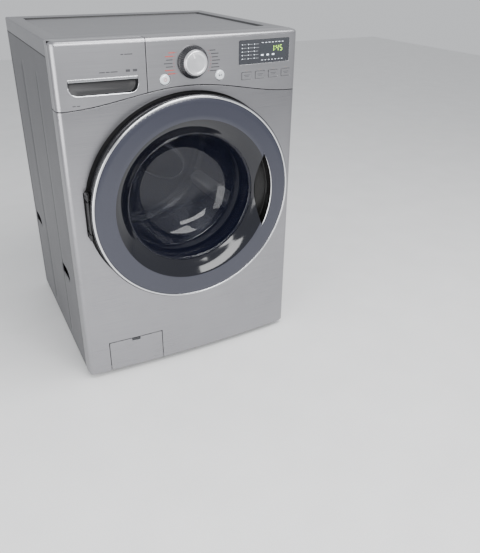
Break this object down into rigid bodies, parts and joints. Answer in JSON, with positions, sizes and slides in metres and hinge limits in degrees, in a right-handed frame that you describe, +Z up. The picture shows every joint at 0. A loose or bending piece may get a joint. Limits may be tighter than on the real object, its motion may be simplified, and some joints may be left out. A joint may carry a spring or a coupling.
{
  "type": "front load washing machine",
  "caption": "Free-standing front load washing machine with a round tinted door, detergent drawer, dial, display and keys, and a sprung tub and drum inside.",
  "frame": {"origin": "on the floor, under the middle of the outer box", "axes": "+Z up, front towards -Y, +X to the right seen from the front; the drum turns about an axis along Y"},
  "size_m": [0.686, 0.756, 0.983],
  "materials": {
    "front_steel": "brushed across, clear coated",
    "fascia_silver": "brushed across, clear coated",
    "casing_grey": "satin powder coat",
    "top_grey": "satin powder coat",
    "zinc_sheet": "galvanised",
    "foot_rubber": "matt",
    "display_black": "gloss",
    "board_green": "matt",
    "white_plastic": "moulded",
    "dark_plastic": "moulded",
    "gasket_rubber": "matt",
    "hose_plastic": "moulded",
    "spring_steel": "drawn wire",
    "tub_plastic": "glass filled, moulded",
    "concrete": "cast",
    "motor_iron": "lacquered",
    "drum_steel": "polished stainless",
    "spider_alloy": "cast",
    "lifter_plastic": "moulded",
    "ring_tint": "tinted gloss",
    "trim_chrome": "bright",
    "bowl_glass": "dark tint",
    "hinge_iron": "coated",
    "knob_silver": "satin",
    "button_pearl": "pearl"
  },
  "bodies": {
    "cabinet": {"base_frame": "zinc_sheet", "foot_front_left": "foot_rubber", "foot_front_right": "foot_rubber", "foot_rear_left": "foot_rubber", "foot_rear_right": "foot_rubber", "side_panel_left": "casing_grey", "side_panel_right": "casing_grey", "rear_panel": "zinc_sheet", "rear_cover": "zinc_sheet", "front_panel": "front_steel", "top_plate": "top_grey", "control_panel": "fascia_silver", "display_window": "display_black", "control_board": "board_green", "dispenser_housing": "white_plastic", "inlet_valve": "white_plastic", "door_lock": "dark_plastic", "door_hinge_bracket": "zinc_sheet", "door_gasket": "gasket_rubber", "drain_pump": "white_plastic", "sump_hose": "foot_rubber", "drain_hose": "hose_plastic", "cord_gland": "foot_rubber", "spring_left": "spring_steel", "spring_right": "spring_steel", "damper_cylinder_left": "dark_plastic", "damper_cylinder_right": "dark_plastic"},
    "tub": {"tub_front": "tub_plastic", "tub_rear": "tub_plastic", "counterweight_top": "concrete", "counterweight_bottom": "concrete", "stator": "motor_iron", "bearing_front": "spring_steel", "bearing_rear": "spring_steel", "damper_rod_left": "spring_steel", "damper_rod_right": "spring_steel"},
    "drum_group": {"drum": "drum_steel", "spider": "spider_alloy", "drive_shaft": "spring_steel", "rotor": "motor_iron", "lifter_1": "lifter_plastic", "lifter_2": "lifter_plastic", "lifter_3": "lifter_plastic"},
    "door": {"door_frame": "ring_tint", "door_trim": "trim_chrome", "door_glass": "bowl_glass", "door_cover": "dark_plastic", "door_hook": "zinc_sheet", "door_hinge_arm": "hinge_iron"},
    "dial": {"dial_knob": "knob_silver"},
    "power": {"power_button": "button_pearl"},
    "start": {"start_button": "button_pearl"},
    "key_1": {"option_key_1": "fascia_silver"},
    "key_2": {"option_key_2": "fascia_silver"},
    "key_3": {"option_key_3": "fascia_silver"},
    "key_4": {"option_key_4": "fascia_silver"},
    "drawer": {"drawer_front": "fascia_silver", "drawer_tray": "white_plastic"},
    "filter": {"drain_filter": "dark_plastic"},
    "service_flap": {"service_cover": "front_steel"}
  },
  "joints": [
    {"name": "tub_float", "type": "slide", "parent": "cabinet", "child": "tub", "axis": [0, 0, 1], "range_m": [-0.015, 0.015], "stiffness_N_per_m": 15000, "springref_m": 0.0255, "deforming": ["spring_left", "spring_right", "door_gasket", "sump_hose"]},
    {"name": "drum_spin", "type": "hinge", "parent": "tub", "child": "drum_group", "pos_m": [0, 0, 0.542], "axis": [0, 1, 0], "continuous": true},
    {"name": "door_hinge", "type": "hinge", "parent": "cabinet", "child": "door", "pos_m": [-0.297, -0.35, 0.542], "axis": [0, 0, -1], "range_deg": [0, 110]},
    {"name": "drawer_slide", "type": "slide", "parent": "cabinet", "child": "drawer", "axis": [0, -1, 0], "range_m": [0, 0.25]},
    {"name": "dial_turn", "type": "hinge", "parent": "cabinet", "child": "dial", "pos_m": [0.013, -0.355, 0.918], "axis": [0, 1, 0], "continuous": true},
    {"name": "power_push", "type": "slide", "parent": "cabinet", "child": "power", "axis": [0, 1, 0], "range_m": [0, 0.003], "stiffness_N_per_m": 600, "springref_m": -0.002},
    {"name": "start_push", "type": "slide", "parent": "cabinet", "child": "start", "axis": [0, 1, 0], "range_m": [0, 0.003], "stiffness_N_per_m": 600, "springref_m": -0.002},
    {"name": "key_push_1", "type": "slide", "parent": "cabinet", "child": "key_1", "axis": [0, 1, 0], "range_m": [0, 0.001], "stiffness_N_per_m": 900, "springref_m": -0.001},
    {"name": "key_push_2", "type": "slide", "parent": "cabinet", "child": "key_2", "axis": [0, 1, 0], "range_m": [0, 0.001], "stiffness_N_per_m": 900, "springref_m": -0.001},
    {"name": "key_push_3", "type": "slide", "parent": "cabinet", "child": "key_3", "axis": [0, 1, 0], "range_m": [0, 0.001], "stiffness_N_per_m": 900, "springref_m": -0.001},
    {"name": "key_push_4", "type": "slide", "parent": "cabinet", "child": "key_4", "axis": [0, 1, 0], "range_m": [0, 0.001], "stiffness_N_per_m": 900, "springref_m": -0.001},
    {"name": "filter_turn", "type": "hinge", "parent": "cabinet", "child": "filter", "pos_m": [-0.194, -0.309, 0.084], "axis": [0, 1, 0], "range_deg": [0, 180]},
    {"name": "service_flap_hinge", "type": "hinge", "parent": "cabinet", "child": "service_flap", "pos_m": [-0.194, -0.323, 0.021], "axis": [1, 0, 0], "range_deg": [0, 90]}
  ]
}
